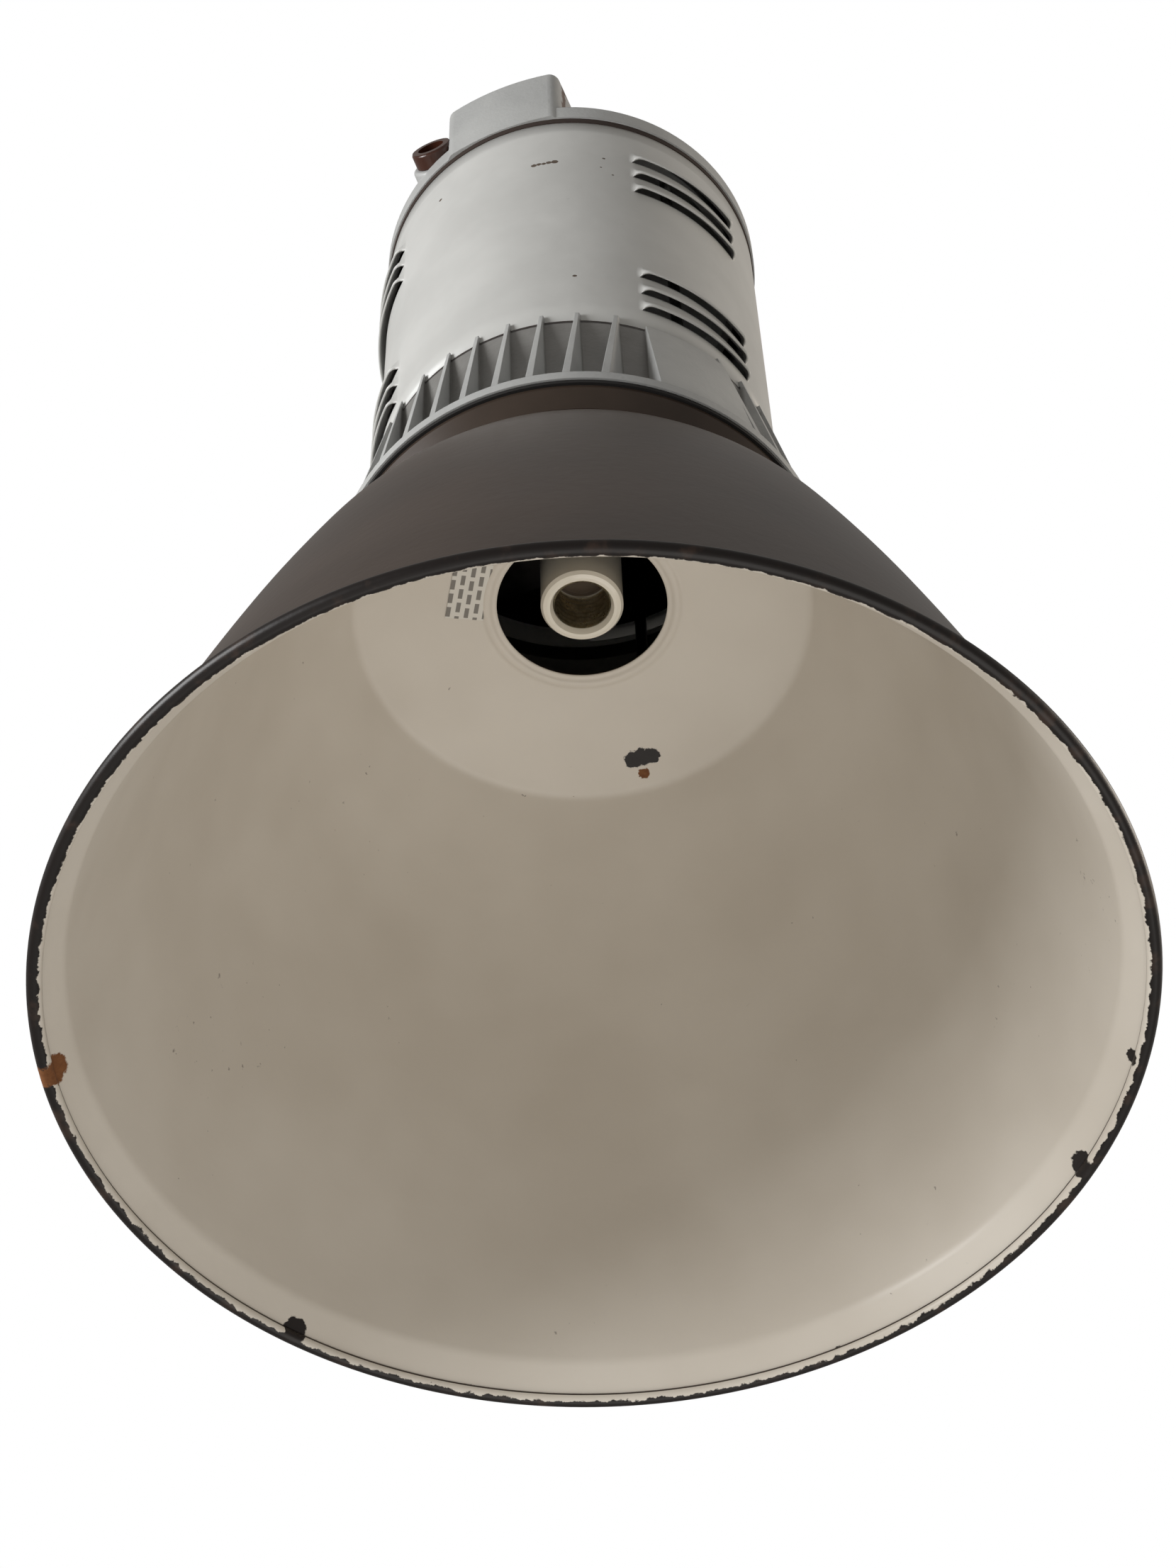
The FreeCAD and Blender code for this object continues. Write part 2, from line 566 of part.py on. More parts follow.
def bracket_screws():
    seat = WEB_TOP + 2
    return group([rod(2.0, FLANGE_Z + 0.5, seat, x).fuse(rod(3.8, seat, seat + 2.5, x)).cut(
        block(x - 4, x + 4, -0.4, 0.4, seat + 1.5, seat + 3)) for x in (-FOOT_X, FOOT_X)])


def ground_screw():
    low = WEB_TOP
    p = at_angle(BOLT_CIRCLE_R - 4, 30)
    return hexagon(8, low, low + 3, p.x, p.y)


def wire_nuts():
    return group([Part.makeCone(6.2, 3.6, 18, V(x, -60, 652), V(0, 0, 1)).cut(rod(LEAD_R, 651, 662, x, -60))
                  for x in (-NUT_X, NUT_X)])


LEADS = {
    "socket_lead_black": [(-12, 0, 341), (-12, 0, 378), (-13, -40, 395), (-14, -46, 430),
                          (-24, -46, 454), (-34, -39, 455), (-34, -39, BLOCK_TOP + 0.1)],
    "socket_lead_white": [(12, 0, 341), (12, 0, 372), (2, -34, 392), (-6, -46, 428),
                          (-20, -53, 458), (-50, -46, 462), (-50, -39, 458), (-50, -39, BLOCK_TOP + 0.1)],
    "supply_lead_black": [(-NUT_X, -60, 662), (-NUT_X, -60, 620), (-18, -56, 570), (-30, -52, 520),
                          (-30, -34, 472), (-30, -34, BLOCK_TOP + 0.1)],
    "supply_lead_white": [(NUT_X, -60, 662), (NUT_X, -60, 612), (0, -58, 566), (-30, -62, 525),
                          (-54, -50, 488), (-54, -34, 470), (-54, -34, BLOCK_TOP + 0.1)],
}


def rating_label():
    """A thin sticker on the underside of the top plate, following its shallow cone."""
    (r0, z0), (r1, z1) = PLATE_HOLE, SHOULDER
    skin = turned([(r0, z0 - 0.4), (r1, z1 - 0.4), (r1, z1 - 0.1), (r0, z0 - 0.1)])
    wide, long = LABEL_SIZE
    patch = block(-wide / 2, wide / 2, -long / 2, long / 2, z1 - 9, z0 + 6)
    patch.rotate(V(), V(0, 0, 1), LABEL_TURN)
    patch.translate(LABEL_AT)
    return skin.common(patch)


def make_parts():
    """Every piece by name, with heights still measured from the rim."""
    parts = {
        "reflector": reflector(),
        "neck_ring": neck_ring(),
        "neck_gasket": neck_gasket(),
        "fin_collar": fin_collar(),
        "housing_shell": housing_shell(),
        "shell_gasket": shell_gasket(),
        "top_gasket": top_gasket(),
        "top_cap": top_cap(),
        "splice_cover": splice_cover(),
        "splice_cover_screws": splice_cover_screws(),
        "conduit_bushing": conduit_bushing(),
        "hub_set_screw": hub_set_screw(),
        "socket_body": socket_body(),
        "screw_shell": screw_shell(),
        "socket_bracket": socket_bracket(),
        "contact_tongue": centre_tongue(),
        "contact_base": contact_base(),
        "contact_rivet": contact_rivet(),
        "socket_terminals": socket_terminals(),
        "socket_nipple": socket_nipple(),
        "nipple_locknuts": nipple_locknuts(),
        "bracket_screws": bracket_screws(),
        "reflector_bolts": reflector_bolts(),
        "reflector_nuts": reflector_nuts(),
        "tie_rods": tie_rods(),
        "plate_nuts": plate_nuts(),
        "washers": washers(),
        "cap_nuts": cap_nuts(),
        "ballast_core": ballast_core(),
        "ballast_coil": ballast_coil(),
        "ballast_plate": ballast_plate(),
        "ballast_straps": ballast_straps(),
        "ballast_screws": ballast_screws(),
        "capacitor": capacitor(),
        "capacitor_clamp": capacitor_clamp(),
        "terminal_block": terminal_block(),
        "terminal_block_screws": terminal_block_screws(),
        "ground_screw": ground_screw(),
        "wire_nuts": wire_nuts(),
        "rating_label": rating_label(),
    }
    for name, route in LEADS.items():
        parts[name] = lead(route, LEAD_R)
    return parts


def main():
    os.makedirs("parts", exist_ok=True)
    for name, shape in make_parts().items():
        shape = shape.translated(V(0, 0, -HUB_TOP))
        shape.exportStep("parts/" + name + ".step")
        solids = shape.Solids
        print(f"{name:22s} solids {len(solids)} valid {shape.isValid()} volume {shape.Volume / 1000:.1f} cm3")


main()
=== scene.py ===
# %% [markdown]
# # An enamelled high-bay pendant, rebuilt for looking at
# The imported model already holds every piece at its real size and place. This lesson keeps that frame and
# gives each piece a finish. Three pieces whose soft bends carry the picture are modelled again: the spun
# bell, the louvred shell and the rolled thread of the lamp socket.

# %% Load the frame
import math

import bmesh
import bpy
from mathutils import Matrix, Vector


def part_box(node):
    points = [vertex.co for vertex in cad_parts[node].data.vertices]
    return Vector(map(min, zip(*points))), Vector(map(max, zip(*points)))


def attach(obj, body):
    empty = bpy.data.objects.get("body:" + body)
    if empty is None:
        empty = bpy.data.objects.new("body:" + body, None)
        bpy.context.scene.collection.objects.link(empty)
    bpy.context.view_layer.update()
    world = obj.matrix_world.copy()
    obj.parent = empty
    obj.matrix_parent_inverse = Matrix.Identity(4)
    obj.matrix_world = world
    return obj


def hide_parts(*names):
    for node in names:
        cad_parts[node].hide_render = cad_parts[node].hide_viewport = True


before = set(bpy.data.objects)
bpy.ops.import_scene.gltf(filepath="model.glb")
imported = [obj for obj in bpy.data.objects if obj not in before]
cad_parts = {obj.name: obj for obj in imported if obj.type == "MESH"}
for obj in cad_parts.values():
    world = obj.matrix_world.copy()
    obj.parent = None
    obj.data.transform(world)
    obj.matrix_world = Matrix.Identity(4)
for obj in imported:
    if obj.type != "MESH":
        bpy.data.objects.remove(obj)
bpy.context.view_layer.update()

# %% [markdown]
# ## Measures taken from the frame
# A piece of the look has to sit exactly where the solid one sits, so the rim's radius and height and the
# foot of the shell are read from the boxes of the solid pieces. What a box can't tell, such as a bend in
# the middle of a wall, is a number in millimetres, counted from the rim of the bell.

# %% Read radii and heights
MM = 0.001
bell_low, bell_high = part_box("reflector")
RIM_R = (bell_high.x - bell_low.x) / 2
RIM_Z = bell_low.z
shell_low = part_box("housing_shell")[0]
HOUSING_R = 101.4 * MM
HUB_TOP = 702.0      # height of the hub's mouth, where the frame has its origin, above the rim


def up(millimetres):
    """A height above the rim, in the frame's metres."""
    return RIM_Z + millimetres * MM


print("rim radius", round(RIM_R, 4), "rim height", round(RIM_Z, 4))

# %% [markdown]
# ## Camera
# The fixture hangs overhead, so the camera stands on its front right and looks up into the bell. A long
# lens keeps the rim and the cap in proportion. Its place is counted in rim radii from the centre of the
# rim.

# %% Place the camera
AROUND = math.radians(21.0)
BACK, BELOW = 3.718, 4.2515
LOOK_UP = math.radians(53.13)
ROLL = math.radians(-1.9)
camera = bpy.data.objects.new("camera", bpy.data.cameras.new("camera"))
bpy.context.scene.collection.objects.link(camera)
place = Vector((math.sin(AROUND) * BACK, -math.cos(AROUND) * BACK, -BELOW)) * RIM_R + Vector((0, 0, RIM_Z))
turn = Matrix.Rotation(AROUND, 4, "Z") @ Matrix.Rotation(math.radians(90) + LOOK_UP, 4, "X")
camera.matrix_world = Matrix.Translation(place) @ turn @ Matrix.Rotation(ROLL, 4, "Z")
camera.data.lens = 73.24
camera.data.sensor_width = 36.0
camera.data.clip_end = 50.0
bpy.context.scene.camera = camera
print("camera stands", round(place.length, 3), "m from the hub")

# %% [markdown]
# ## Light
# A studio for a hanging lamp is a bright room with one large soft source to the left, a weaker, warmer one
# to the right and a faint one below that opens up the inside of the bell. The room itself is the world
# colour. It is seen as white paper behind the lamp, but it lights the lamp less strongly than that, or
# every shadow between the fins would vanish.

# %% Room and lamps
scene = bpy.context.scene
scene.view_settings.view_transform = "Standard"
world = bpy.data.worlds.new("room")
scene.world = world
world.use_nodes = True
room = world.node_tree
room.nodes.clear()
paper = room.nodes.new("ShaderNodeBackground")
paper.inputs["Color"].default_value = (1.0, 1.0, 1.0, 1.0)
glow = room.nodes.new("ShaderNodeBackground")
glow.inputs["Color"].default_value = (1.0, 0.965, 0.92, 1.0)
glow.inputs["Strength"].default_value = 0.30
seen = room.nodes.new("ShaderNodeLightPath")
choose = room.nodes.new("ShaderNodeMixShader")
room_out = room.nodes.new("ShaderNodeOutputWorld")
room.links.new(seen.outputs["Is Camera Ray"], choose.inputs["Fac"])
room.links.new(glow.outputs[0], choose.inputs[1])
room.links.new(paper.outputs[0], choose.inputs[2])
room.links.new(choose.outputs[0], room_out.inputs["Surface"])


def softbox(name, towards, distance, width, height, watts, colour):
    """A rectangular lamp that looks at the middle of the bell from a direction."""
    lamp = bpy.data.lights.new(name, "AREA")
    lamp.shape, lamp.size, lamp.size_y = "RECTANGLE", width, height
    lamp.energy, lamp.color = watts, colour
    holder = bpy.data.objects.new(name, lamp)
    scene.collection.objects.link(holder)
    middle = Vector((0, 0, up(300)))
    holder.location = middle + Vector(towards).normalized() * distance
    holder.rotation_euler = (middle - holder.location).to_track_quat("-Z", "Y").to_euler()


def from_camera(right, forward, rise):
    """A direction given as the camera's right, the way it faces over the ground, and up."""
    return Matrix.Rotation(AROUND, 3, "Z") @ Vector((right, forward, rise))


softbox("left_window", from_camera(-1.0, -0.42, -0.12), 2.4, 1.0, 1.4, 64, (0.98, 0.985, 0.99))
softbox("right_window", from_camera(1.0, 0.25, 0.3), 2.4, 0.7, 1.6, 26, (1.0, 0.9, 0.78))
softbox("under_fill", from_camera(0.25, 0.1, -1.0), 1.9, 1.6, 1.6, 10, (1.0, 0.98, 0.95))

# %% [markdown]
# ## Floor
# The floor lies well below the bell and isn't part of the fixture. A lift that only the camera sees makes
# it pale without throwing more light up into the bell.

# %% Floor
FLOOR_DROP = 1.8
FLOOR_HALF = 6.0
floor_mesh = bpy.data.meshes.new("floor")
sheet = bmesh.new()
bmesh.ops.create_grid(sheet, x_segments=1, y_segments=1, size=FLOOR_HALF)
bmesh.ops.translate(sheet, verts=sheet.verts, vec=(0, 0, RIM_Z - FLOOR_DROP))
sheet.to_mesh(floor_mesh)
sheet.free()
floor = bpy.data.objects.new("floor", floor_mesh)
scene.collection.objects.link(floor)
floor_paint = bpy.data.materials.new("pale floor")
floor_paint.use_nodes = True
floor_nodes = floor_paint.node_tree
floor_shader = floor_nodes.nodes["Principled BSDF"]
floor_shader.inputs["Base Color"].default_value = (0.85, 0.85, 0.84, 1.0)
floor_shader.inputs["Roughness"].default_value = 0.9
floor_shader.inputs["Emission Color"].default_value = (1.0, 1.0, 1.0, 1.0)
floor_seen = floor_nodes.nodes.new("ShaderNodeLightPath")
lift = floor_nodes.nodes.new("ShaderNodeMath")
lift.operation = "MULTIPLY"
lift.inputs[1].default_value = 0.4
floor_nodes.links.new(floor_seen.outputs["Is Camera Ray"], lift.inputs[0])
floor_nodes.links.new(lift.outputs[0], floor_shader.inputs["Emission Strength"])
floor_mesh.materials.append(floor_paint)
print("floor", FLOOR_DROP, "m below the rim")

# %% [markdown]
# ## Building a finish out of nodes
# Every finish is a Principled shader. What changes over the surface, such as grain or chips, comes from
# masks and from small node groups that only put out masks and heights. A short helper keeps the wiring
# readable.

# %% Node helpers


class Nodes:
    """Adds nodes to a tree and links what they are given: a socket is linked, anything else is a value."""

    def __init__(self, tree):
        self.tree = tree

    def add(self, kind, out=0, settings=None, **inputs):
        node = self.tree.nodes.new("ShaderNode" + kind)
        for name, value in (settings or {}).items():
            setattr(node, name, value)
        for name, value in inputs.items():
            key = int(name[1:]) if name[0] == "i" and name[1:].isdigit() else name.replace("_", " ")
            self.feed(node.inputs[key], value)
        return node.outputs[out]

    def feed(self, socket, value):
        if isinstance(value, bpy.types.NodeSocket):
            self.tree.links.new(value, socket)
        else:
            socket.default_value = value

    def maths(self, operation, a, b=0.0, c=0.0, clamp=False):
        settings = {"operation": operation, "use_clamp": clamp}
        return self.add("Math", settings=settings, i0=a, i1=b, i2=c)

    def mix(self, mask, a, b):
        node = self.tree.nodes.new("ShaderNodeMix")
        node.data_type = "RGBA"
        self.feed(node.inputs[0], mask)
        self.feed(node.inputs[6], a)
        self.feed(node.inputs[7], b)
        return node.outputs[2]

    def step(self, value, low, high):
        """0 below low, 1 above high, smooth between."""
        settings = {"interpolation_type": "SMOOTHSTEP"}
        return self.add("MapRange", settings=settings, Value=value, From_Min=low, From_Max=high)

    def place(self):
        return self.add("TexCoord", out=3)

    def cloud(self, scale, detail=2.0, roughness=0.5):
        return self.add("TexNoise", Vector=self.place(), Scale=scale, Detail=detail, Roughness=roughness)

    def flat_place(self):
        """The place without its height."""
        settings = {"operation": "MULTIPLY"}
        return self.add("VectorMath", settings=settings, i0=self.place(), i1=(1.0, 1.0, 0.0))

    def axis_distance(self):
        """How far a point stands from the fixture's vertical axis."""
        return self.add("VectorMath", out=1, settings={"operation": "LENGTH"}, i0=self.flat_place())

    def height(self):
        return self.add("SeparateXYZ", out=2, Vector=self.place())


def colour(red, green, blue):
    """A screen colour from 0 to 255, as the linear value a shader wants."""
    def linear(c):
        c = c / 255
        return c / 12.92 if c <= 0.04045 else ((c + 0.055) / 1.055) ** 2.4
    return (linear(red), linear(green), linear(blue), 1.0)


def new_group(name, inputs, outputs):
    """An empty node group with float inputs and outputs, and its helper."""
    tree = bpy.data.node_groups.new(name, "ShaderNodeTree")
    for label, value in inputs:
        socket = tree.interface.new_socket(label, in_out="INPUT", socket_type="NodeSocketFloat")
        socket.default_value = value
    for label in outputs:
        tree.interface.new_socket(label, in_out="OUTPUT", socket_type="NodeSocketFloat")
    return tree, Nodes(tree), tree.nodes.new("NodeGroupInput"), tree.nodes.new("NodeGroupOutput")


print("helpers ready")

# %% [markdown]
# ## Two effects that several finishes share
# *Orange peel* is the faint waviness of sprayed or fired coatings. *Specks* are scattered chips and dirt
# marks: a fine noise is cut at a high level, and a coarse noise decides where the marks gather.

# %% Shared groups
peel_tree, peel, peel_in, peel_out = new_group(
    "Orange peel", [("Scale", 300.0), ("Coarse", 40.0)], ["Height"])
fine = peel.add("TexNoise", Vector=peel.place(), Scale=peel_in.outputs["Scale"], Detail=2.0)
broad = peel.add("TexNoise", Vector=peel.place(), Scale=peel_in.outputs["Coarse"], Detail=1.0)
peel.feed(peel_out.inputs["Height"], peel.maths("MULTIPLY_ADD", broad, 2.0, fine))

speck_tree, speck, speck_in, speck_out = new_group(
    "Specks", [("Scale", 120.0), ("Cut", 0.7), ("Gather", 9.0)], ["Mask"])
dots = speck.add("TexNoise", Vector=speck.place(), Scale=speck_in.outputs["Scale"], Detail=4.0,
                 Roughness=0.6)
where = speck.add("TexNoise", Vector=speck.place(), Scale=speck_in.outputs["Gather"], Detail=1.0)
level = speck.maths("MULTIPLY_ADD", where, 0.35, dots)
over = speck.maths("SUBTRACT", level, speck_in.outputs["Cut"])
speck.feed(speck_out.inputs["Mask"], speck.maths("MULTIPLY", over, 28.0, clamp=True))
print("groups", [g.name for g in bpy.data.node_groups])

# %% [markdown]
# ## A finish
# A finish is a material whose shader is ready to be filled in. Each is kept under the name of the slot
# that the solid pieces ask for, so that all of them can be given out in one loop later.


# %% A finish, ready to be filled in
class Finish(Nodes):
    """A material with its Principled shader, and the helper for its nodes."""

    def __init__(self, name, **values):
        self.material = bpy.data.materials.new(name)
        self.material.use_nodes = True
        super().__init__(self.material.node_tree)
        self.shader = self.tree.nodes["Principled BSDF"]
        self.set(**values)

    def set(self, **values):
        for name, value in values.items():
            self.feed(self.shader.inputs[name.replace("_", " ")], value)

    def group(self, tree, output, **inputs):
        node = self.tree.nodes.new("ShaderNodeGroup")
        node.node_tree = tree
        for name, value in inputs.items():
            self.feed(node.inputs[name], value)
        return node.outputs[output]

    def bump(self, height, distance, strength=1.0):
        self.set(Normal=self.add("Bump", Height=height, Distance=distance, Strength=strength))


FINISHES = {}


def keep(slot, finish):
    FINISHES[slot] = finish.material
    print("finish", slot, "with", len(finish.tree.nodes), "nodes")

# %% [markdown]
# ## Enamel of the bell
# Porcelain enamel is glass fired onto steel. The bell is brown outside and white inside, so which colour
# shows depends on which way the surface faces. The rolled rim is darker still, with a ragged line where
# the white ends. Enamel doesn't scratch, it chips, and the bare steel below turns to rust.

# %% Enamel material
WHITE_ENDS = 0.2234      # distance from the axis at which the white stops, on the rolled rim
bell = Finish("enamel_brown_and_white", Coat_Weight=0.1, Coat_Roughness=0.2, Specular_IOR_Level=0.28)
normal_z = bell.add("SeparateXYZ", out=2, Vector=bell.add("TexCoord", out=1))
above_rim = bell.maths("SUBTRACT", bell.height(), RIM_Z)
ragged = bell.maths("MULTIPLY_ADD", bell.cloud(170.0, 5.0, 0.65), 0.0052, -0.0026)
edge_line = bell.maths("ADD", bell.axis_distance(), ragged)
rim_mask = bell.step(edge_line, WHITE_ENDS, WHITE_ENDS + 0.0004)
inside = bell.step(normal_z, 0.02, -0.02)
soil = bell.cloud(7.0, 3.0, 0.55)
brown = bell.mix(bell.step(soil, 0.35, 0.7), colour(46, 34, 26), colour(57, 44, 35))
# Painted highlight: the brown lightens towards the shoulder, as the sheen that lies there.
shoulder_sheen = bell.step(above_rim, 0.19, 0.30)
brown = bell.mix(bell.maths("MULTIPLY", shoulder_sheen, 0.35), brown, colour(104, 88, 76))
cream = bell.mix(bell.step(soil, 0.3, 0.7), colour(214, 207, 196), colour(202, 194, 182))
rim_patches = bell.step(bell.cloud(60.0, 4.0, 0.6), 0.52, 0.7)
dark_rim = bell.mix(rim_patches, colour(20, 14, 12), colour(50, 37, 30))
paint = bell.mix(inside, brown, cream)
paint = bell.mix(rim_mask, paint, dark_rim)


def near(finish, centre, size, wobble=0.35):
    """1 inside a ragged blob round a point, 0 outside."""
    gap = finish.add("VectorMath", out=1, settings={"operation": "DISTANCE"}, i0=finish.place(), i1=centre)
    noise_value = finish.cloud(2.2 / size, 4.0, 0.6)
    reach = finish.maths("MULTIPLY_ADD", noise_value, 2 * wobble * size, size * (1 - wobble))
    return finish.maths("MULTIPLY", finish.maths("SUBTRACT", reach, gap), 2.0 / size * 6, clamp=True)


def on_rim(degrees, r=0.226, height=0.004):
    a = math.radians(degrees)
    return (r * math.sin(a), -r * math.cos(a), RIM_Z + height)


def patches(finish, places):
    """1 inside any of several ragged blobs, each given as its centre and its size."""
    mask = near(finish, *places[0])
    for centre, size in places[1:]:
        mask = finish.maths("MAXIMUM", mask, near(finish, centre, size))
    return mask


PLATE = up(301.5)
CHIPS = [((-0.0015, 0.0925, PLATE), 0.0058), ((-0.0105, 0.0915, PLATE), 0.0058),
         ((-0.006, 0.0915, PLATE), 0.006), (on_rim(135.2, 0.222), 0.006), (on_rim(119.2, 0.2205), 0.004),
         (on_rim(-121.2, 0.221), 0.006)]
RUST = [(on_rim(-74.0, 0.2245, 0.006), 0.008), ((-0.0085, 0.1005, up(299.3)), 0.0036),
        ((-0.046, 0.100, up(298.0)), 0.0022)]
paint = bell.mix(patches(bell, CHIPS), paint, colour(30, 24, 22))
rust = patches(bell, RUST)
rust_colour = bell.mix(bell.cloud(400.0, 4.0, 0.7), colour(78, 44, 24), colour(140, 90, 50))
paint = bell.mix(rust, paint, rust_colour)
dirt = bell.group(speck_tree, "Mask", Scale=210.0, Cut=0.92)
paint = bell.mix(bell.maths("MULTIPLY", dirt, 0.55), paint, colour(66, 54, 44))
rough = bell.maths("MULTIPLY_ADD", rust, 0.5, bell.maths("MULTIPLY_ADD", inside, 0.04, 0.36))
bell.set(Base_Color=paint, Roughness=rough)
bell.bump(bell.group(peel_tree, "Height", Scale=160.0, Coarse=22.0), 0.00022, 0.5)
keep("bell_enamel", bell)

# %% [markdown]
# ## Painted casting
# Cast metal is painted over a sandy skin, so it has a fine, lumpy height. Rolled sheet is smooth and shows
# only a faint waviness. The casting is coloured near-black inside as painted shade, darker between its fins
# as painted shade, and dark along its joint with the shell as a painted shadow of the gap. It is worn to a
# rusty brown at one corner of the splice box.


# %% Painted casting
def painted(slot, low, high, roughness, grain, depth, dirt_amount):
    """Grey paint over metal, with soil in the broad noise and specks."""
    f = Finish(slot.replace("_", " ") + " paint", Coat_Weight=0.1, Coat_Roughness=0.3)
    tone = f.mix(f.step(f.cloud(14.0, 4.0, 0.6), 0.3, 0.7), low, high)
    dirt_marks = f.group(speck_tree, "Mask", Scale=260.0, Cut=0.94)
    tone = f.mix(f.maths("MULTIPLY", dirt_marks, dirt_amount), tone, colour(84, 78, 70))
    height = f.group(peel_tree, "Height", Scale=grain, Coarse=45.0)
    soft_edge = f.add("Bevel", Radius=0.0006)
    f.set(Base_Color=tone, Roughness=roughness,
          Normal=f.add("Bump", Height=height, Distance=depth, Strength=0.6, Normal=soft_edge))
    return f, tone


CORE_TOP = 400.0         # where the casting ends and the shell begins, in millimetres above the rim
casting, casting_tone = painted("grey_casting", colour(166, 167, 166), colour(183, 184, 182), 0.42, 420.0,
                                0.00035, 0.5)
from_axis = casting.axis_distance()
height_of = casting.height()
# Painted shade: the casting's inside, deep in the housing, is coloured near-black.
inner_shade = casting.maths("MULTIPLY", casting.step(from_axis, 0.1, 0.0985),
                     casting.step(height_of, up(CORE_TOP + 30), up(CORE_TOP + 25)))
casting_tone = casting.mix(inner_shade, casting_tone, colour(16, 15, 15))
corner_gap = casting.add("VectorMath", out=1, settings={"operation": "DISTANCE"}, i0=casting.flat_place(),
                         i1=(0.0332, -0.0885, 0.0))
worn = casting.maths("MULTIPLY_ADD", casting.cloud(170.0, 5.0, 0.65), 0.0085, -0.0012)
worn = casting.maths("MULTIPLY", casting.maths("SUBTRACT", worn, corner_gap), 900.0, clamp=True)
worn = casting.maths("MULTIPLY", worn, casting.step(height_of, up(640), up(652)))
worn_colour = casting.mix(casting.cloud(300.0, 3.0, 0.6), colour(52, 36, 26), colour(112, 84, 62))
# Painted shade: the core wall between the fins is darker grey, as the shade in those recesses.
core = casting.maths("MULTIPLY", casting.step(height_of, up(CORE_TOP + 0.5), up(CORE_TOP - 2)),
                     casting.step(from_axis, 0.1045, 0.1022))
fin_shade_tone = casting.mix(casting.cloud(55.0, 4.0, 0.6), colour(104, 102, 99), colour(136, 135, 132))
casting_tone = casting.mix(core, casting_tone, fin_shade_tone)
# Painted shadow: a dark line along the gap where the shell meets the casting.
joint_shadow = casting.maths("MULTIPLY", casting.step(height_of, up(CORE_TOP - 1.8), up(CORE_TOP - 1.3)),
                           casting.step(from_axis, 0.1024, 0.1020))
joint_shadow = casting.maths("MULTIPLY", joint_shadow,
                           casting.step(height_of, up(CORE_TOP + 1.5), up(CORE_TOP + 0.8)))
casting_tone = casting.mix(joint_shadow, casting_tone, colour(40, 34, 31))
casting.set(Base_Color=casting.mix(worn, casting_tone, worn_colour))
keep("grey_casting", casting)

# %% [markdown]
# ## Painted sheet
# The shell's paint has lost a few specks and one short dash over the years. Each is a ragged blob on the
# sleeve, placed by its angle round the axis and its height, and sized in metres.

# %% Painted sheet
sheet_paint, sheet_tone = painted("grey_sheet", colour(190, 190, 187), colour(200, 200, 197), 0.36, 90.0,
                                  0.00018, 0.4)


def on_shell(degrees, height):
    a = math.radians(degrees)
    return (HOUSING_R * math.sin(a), -HOUSING_R * math.cos(a), up(height))


PAINT_MARKS = [(10.9, 574.5, 0.0016), (12.4, 575.0, 0.0014), (13.9, 574.8, 0.0013), (15.4, 575.4, 0.0016),
               (17.2, 575.6, 0.0020), (-21.7, 589.0, 0.0012), (32.0, 581.0, 0.0009), (34.5, 563.0, 0.0007),
               (22.0, 447.0, 0.0012), (31.0, 570.0, 0.0006)]
missing_paint = patches(sheet_paint, [(on_shell(degrees, height), size)
                                      for degrees, height, size in PAINT_MARKS])
sheet_paint.set(Base_Color=sheet_paint.mix(missing_paint, sheet_tone, colour(84, 70, 58)))
keep("grey_sheet", sheet_paint)

# %% [markdown]
# ## Moulded, glazed and wound pieces
# Most of these sit out of sight, so a colour and a roughness describe them. Three need a little more: the
# neck ring is dark brown outside and near-black inside as painted shade, the porcelain is scorched deep in
# the socket, and the phenolic bushing is faintly wavy.


# %% Plain finishes
def plain(slot, tone, roughness, metallic=0.0, **more):
    f = Finish(slot.replace("_", " "), Base_Color=colour(*tone), Roughness=roughness, Metallic=metallic,
               **more)
    keep(slot, f)
    return f


neck = Finish("dark enamel", Roughness=0.38, Specular_IOR_Level=0.3)
neck_r = neck.axis_distance()
neck_brown = neck.mix(neck.cloud(40.0, 4.0, 0.6), colour(50, 41, 34), colour(66, 55, 47))
# Painted shade: inside 108 mm from the axis the neck ring is coloured near-black; outside it is brown.
neck.set(Base_Color=neck.mix(neck.step(neck_r, 0.108, 0.1085), colour(18, 16, 15), neck_brown))
keep("dark_enamel", neck)
plain("black_rubber", (22, 20, 19), 0.8)
plain("brown_gasket", (50, 38, 32), 0.9)
china = Finish("porcelain", Roughness=0.22, Coat_Weight=0.5)
scorched = china.maths("MULTIPLY", china.step(china.axis_distance(), 0.0139, 0.0135),
                       china.step(china.height(), up(324), up(328)))
glaze = china.mix(china.cloud(90.0, 3.0), colour(226, 219, 203), colour(236, 230, 217))
china.set(Base_Color=china.mix(scorched, glaze, colour(112, 98, 84)))
keep("porcelain", china)
plain("lamination", (70, 66, 62), 0.5, 0.6)
plain("winding", (120, 60, 28), 0.35)
plain("capacitor_can", (190, 192, 194), 0.3, 0.9)
plain("ground_green", (30, 120, 60), 0.35)
plain("wire_nut_plastic", (205, 120, 40), 0.4)
plain("lead_black", (24, 24, 25), 0.4)
plain("lead_white", (224, 222, 214), 0.4)
phenolic = plain("brown_phenolic", (62, 34, 24), 0.22)
phenolic.bump(phenolic.cloud(260.0, 2.0), 0.0002, 0.4)

# %% [markdown]
# ## Metals
# Bare and plated metals are never even: a broad noise makes some patches duller and darker than others.
# Steel inside the housing, near the lamp, has a height below which it is coloured near-black as painted
# shade.


